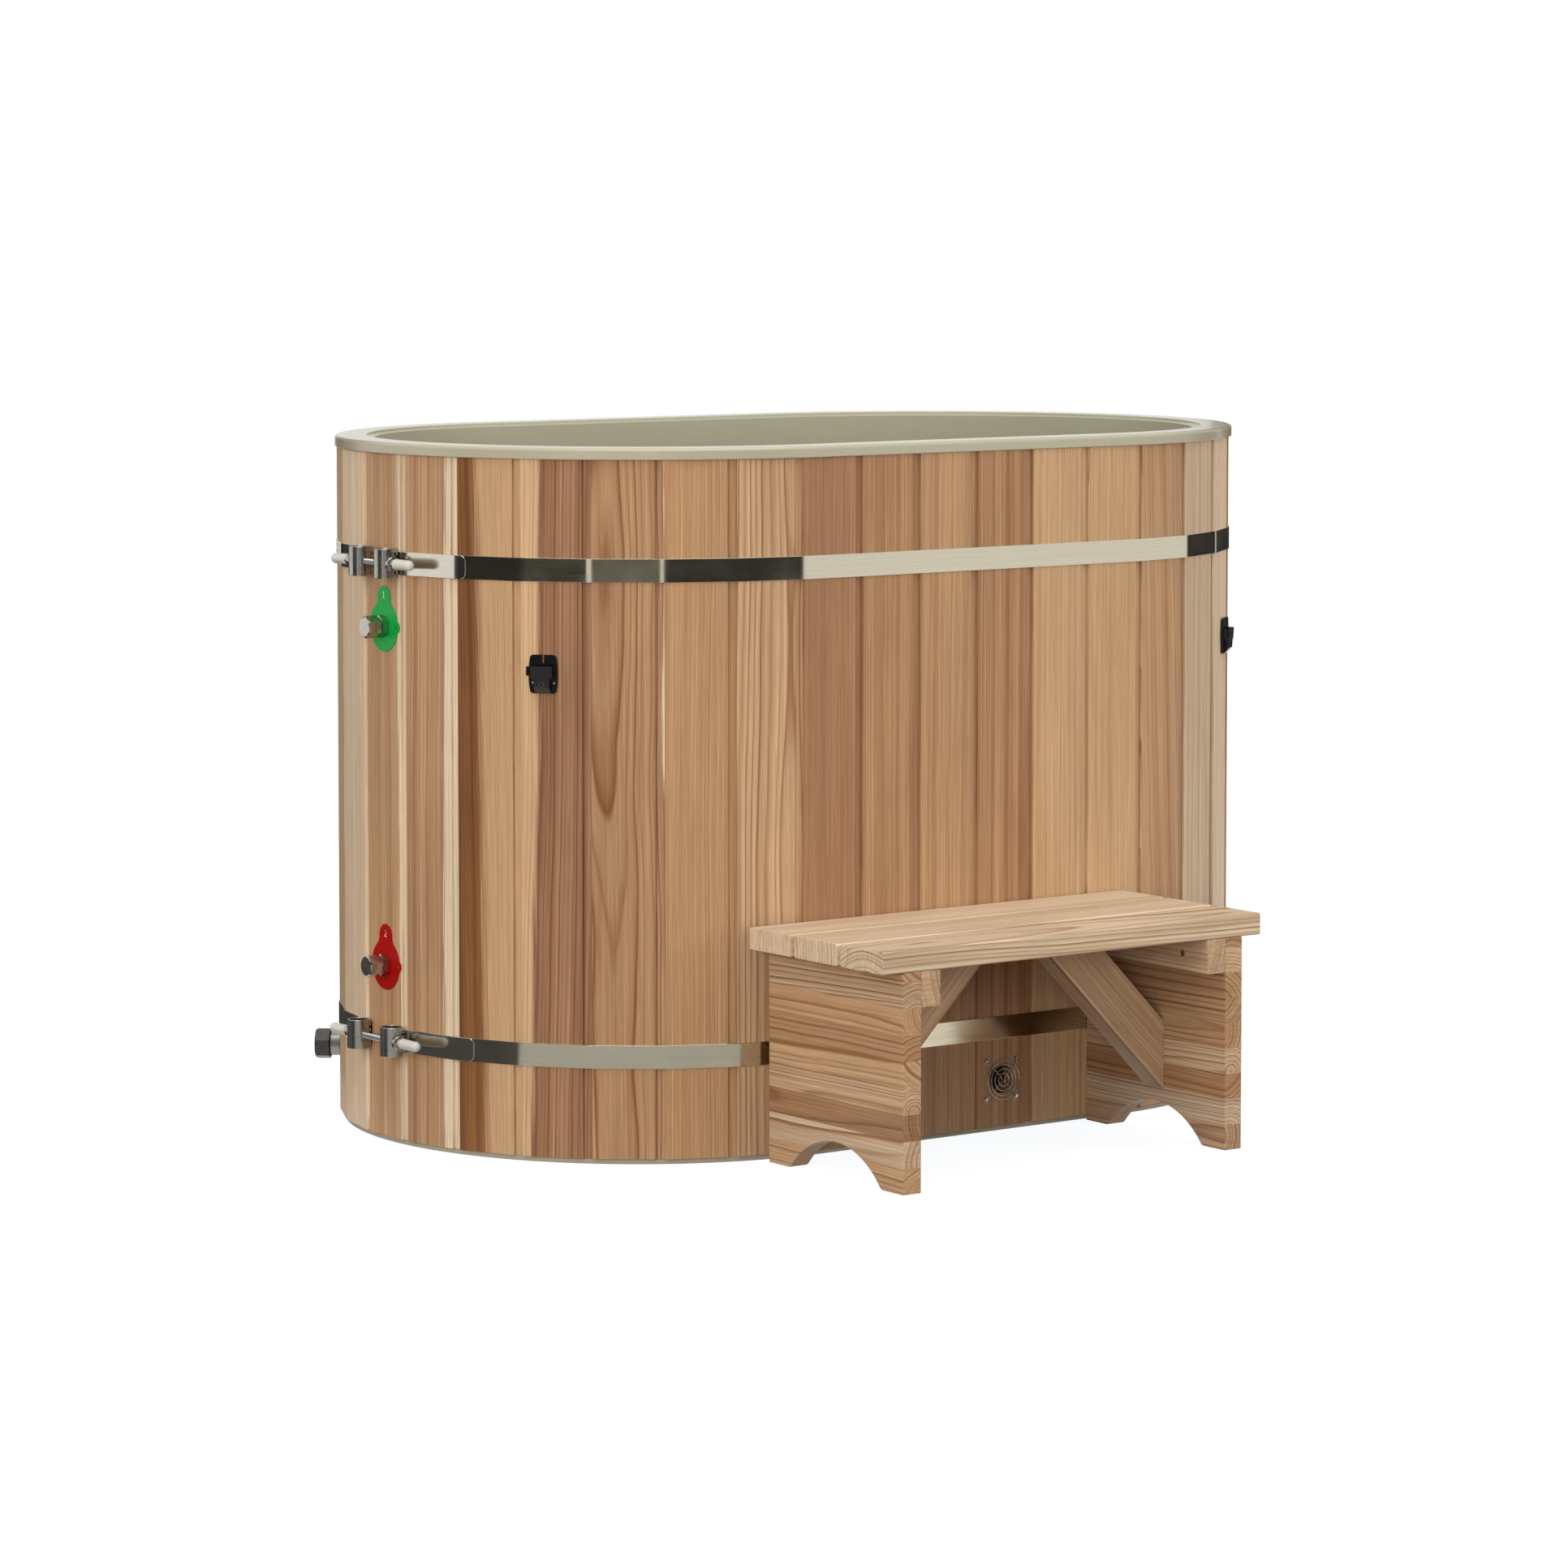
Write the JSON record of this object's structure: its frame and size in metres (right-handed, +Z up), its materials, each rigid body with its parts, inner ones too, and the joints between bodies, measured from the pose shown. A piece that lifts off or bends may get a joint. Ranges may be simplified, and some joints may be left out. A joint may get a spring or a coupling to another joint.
{
  "type": "wooden hot tub",
  "caption": "Oval plunge hot tub: a moulded well clad in tongue and groove cedar boards, held by screw-clamped steel hoops, with water ports, drain, cover latches and a step.",
  "frame": {"origin": "on the floor, under the middle of the oval tub", "axes": "+Z up; +X along the tub, away from the water ports; -Y towards the step"},
  "size_m": [1.3396, 1.1053, 0.912],
  "materials": {
    "tub_boards": "clear oiled cedar, vertical grain",
    "vent_board": "clear oiled cedar, reddish brown",
    "step_boards": "clear cedar, lighter than the tub",
    "shell": "greyish beige moulded shell, satin gloss",
    "base": "matt moulded pan",
    "foam": "closed-cell insulating foam, hidden",
    "hoop_steel": "brushed stainless strip",
    "clamp_steel": "polished stainless",
    "rod_cap_plastic": "grey-white soft plastic",
    "green_plate": "green, satin",
    "red_plate": "red, satin",
    "pipe_steel": "polished stainless",
    "seal_rubber": "black rubber",
    "latch_plastic": "black, glossy",
    "key_steel": "dark steel",
    "screw_steel": "stainless",
    "guard_wire": "chromed wire"
  },
  "bodies": {
    "tub": {"tub_shell": "shell", "base_pan": "base", "foam_jacket": "foam", "staves_front": "tub_boards", "staves_back": "tub_boards", "staves_left_end": "tub_boards", "staves_right_end": "tub_boards", "port_stave": "tub_boards", "drain_stave": "tub_boards", "vent_stave": "vent_board", "upper_hoop": "hoop_steel", "lower_hoop": "hoop_steel", "upper_end_plates": "hoop_steel", "lower_end_plates": "hoop_steel", "clamp_barrels": "clamp_steel", "clamp_rods": "clamp_steel", "saddle_washers": "clamp_steel", "clamp_nuts": "clamp_steel", "rod_end_caps": "rod_cap_plastic", "inlet_plate": "green_plate", "outlet_plate": "red_plate", "plate_screws": "screw_steel", "port_collars": "pipe_steel", "inlet_pipe": "pipe_steel", "outlet_pipe": "pipe_steel", "drain_escutcheon": "pipe_steel", "drain_pipe": "pipe_steel", "latch_front_left": "latch_plastic", "latch_front_right": "latch_plastic", "latch_back_right": "latch_plastic", "latch_back_left": "latch_plastic", "latch_screws": "screw_steel", "vent_guard": "guard_wire", "vent_screws": "screw_steel"},
    "step": {"step_plank_front": "step_boards", "step_plank_middle": "step_boards", "step_plank_back": "step_boards", "step_panel_left": "step_boards", "step_panel_right": "step_boards", "step_cleat_left": "step_boards", "step_cleat_right": "step_boards", "step_brace_left": "step_boards", "step_brace_right": "step_boards", "step_screws": "screw_steel"},
    "inlet_washer": {"inlet_washer": "seal_rubber"},
    "inlet_cap": {"inlet_cap": "pipe_steel"},
    "outlet_washer": {"outlet_washer": "seal_rubber"},
    "outlet_cap": {"outlet_cap": "pipe_steel"},
    "drain_washer": {"drain_washer": "seal_rubber"},
    "drain_cap": {"drain_cap": "pipe_steel"},
    "key_front_left": {"key_front_left": "key_steel"},
    "tab_front_left": {"tab_front_left": "latch_plastic"},
    "key_front_right": {"key_front_right": "key_steel"},
    "tab_front_right": {"tab_front_right": "latch_plastic"},
    "key_back_right": {"key_back_right": "key_steel"},
    "tab_back_right": {"tab_back_right": "latch_plastic"},
    "key_back_left": {"key_back_left": "key_steel"},
    "tab_back_left": {"tab_back_left": "latch_plastic"}
  },
  "joints": [
    {"name": "inlet_cap_lift", "type": "slide", "parent": "tub", "child": "inlet_washer", "axis": [-1, 0, 0], "range_m": [0, 0.00958]},
    {"name": "inlet_cap_turn", "type": "hinge", "parent": "inlet_washer", "child": "inlet_cap", "pos_m": [-0.67134, 0.00275, 0.673], "axis": [-1, 0, 0], "range_deg": [0, 1890]},
    {"name": "outlet_cap_lift", "type": "slide", "parent": "tub", "child": "outlet_washer", "axis": [-1, 0, 0], "range_m": [0, 0.00958]},
    {"name": "outlet_cap_turn", "type": "hinge", "parent": "outlet_washer", "child": "outlet_cap", "pos_m": [-0.67134, 0.00275, 0.232], "axis": [-1, 0, 0], "range_deg": [0, 1890]},
    {"name": "drain_cap_lift", "type": "slide", "parent": "tub", "child": "drain_washer", "axis": [-0.7751, 0.6319, 0], "range_m": [0, 0.00958]},
    {"name": "drain_cap_turn", "type": "hinge", "parent": "drain_washer", "child": "drain_cap", "pos_m": [-0.58106, 0.26286, 0.088], "axis": [-0.7751, 0.6319, 0], "range_deg": [0, 1890]},
    {"name": "key_front_left_turn", "type": "hinge", "parent": "tub", "child": "key_front_left", "pos_m": [-0.57881, -0.25296, 0.6118], "axis": [-0.7751, -0.6319, 0], "range_deg": [0, 90]},
    {"name": "tab_front_left_press", "type": "slide", "parent": "tub", "child": "tab_front_left", "axis": [0.6319, -0.7751, 0], "range_m": [0, 0.002], "stiffness_N_per_m": 200},
    {"name": "key_front_right_turn", "type": "hinge", "parent": "tub", "child": "key_front_right", "pos_m": [0.51297, -0.32209, 0.6118], "axis": [0.6122, -0.7907, 0], "range_deg": [0, 90]},
    {"name": "tab_front_right_press", "type": "slide", "parent": "tub", "child": "tab_front_right", "axis": [0.7907, 0.6122, 0], "range_m": [0, 0.002], "stiffness_N_per_m": 200},
    {"name": "key_back_right_turn", "type": "hinge", "parent": "tub", "child": "key_back_right", "pos_m": [0.57881, 0.25296, 0.6118], "axis": [0.7751, 0.6319, 0], "range_deg": [0, 90]},
    {"name": "tab_back_right_press", "type": "slide", "parent": "tub", "child": "tab_back_right", "axis": [-0.6319, 0.7751, 0], "range_m": [0, 0.002], "stiffness_N_per_m": 200},
    {"name": "key_back_left_turn", "type": "hinge", "parent": "tub", "child": "key_back_left", "pos_m": [-0.51297, 0.32209, 0.6118], "axis": [-0.6122, 0.7907, 0], "range_deg": [0, 90]},
    {"name": "tab_back_left_press", "type": "slide", "parent": "tub", "child": "tab_back_left", "axis": [-0.7907, -0.6122, 0], "range_m": [0, 0.002], "stiffness_N_per_m": 200},
    {"name": "step_pull_away", "type": "slide", "parent": "tub", "child": "step", "axis": [0, -1, 0], "range_m": [0, 0.6]}
  ],
  "couplings": [
    {"joint": "inlet_cap_lift", "follows": "inlet_cap_turn", "m_per_rad": 0.00028875},
    {"joint": "outlet_cap_lift", "follows": "outlet_cap_turn", "m_per_rad": 0.00028875},
    {"joint": "drain_cap_lift", "follows": "drain_cap_turn", "m_per_rad": 0.00028875}
  ]
}
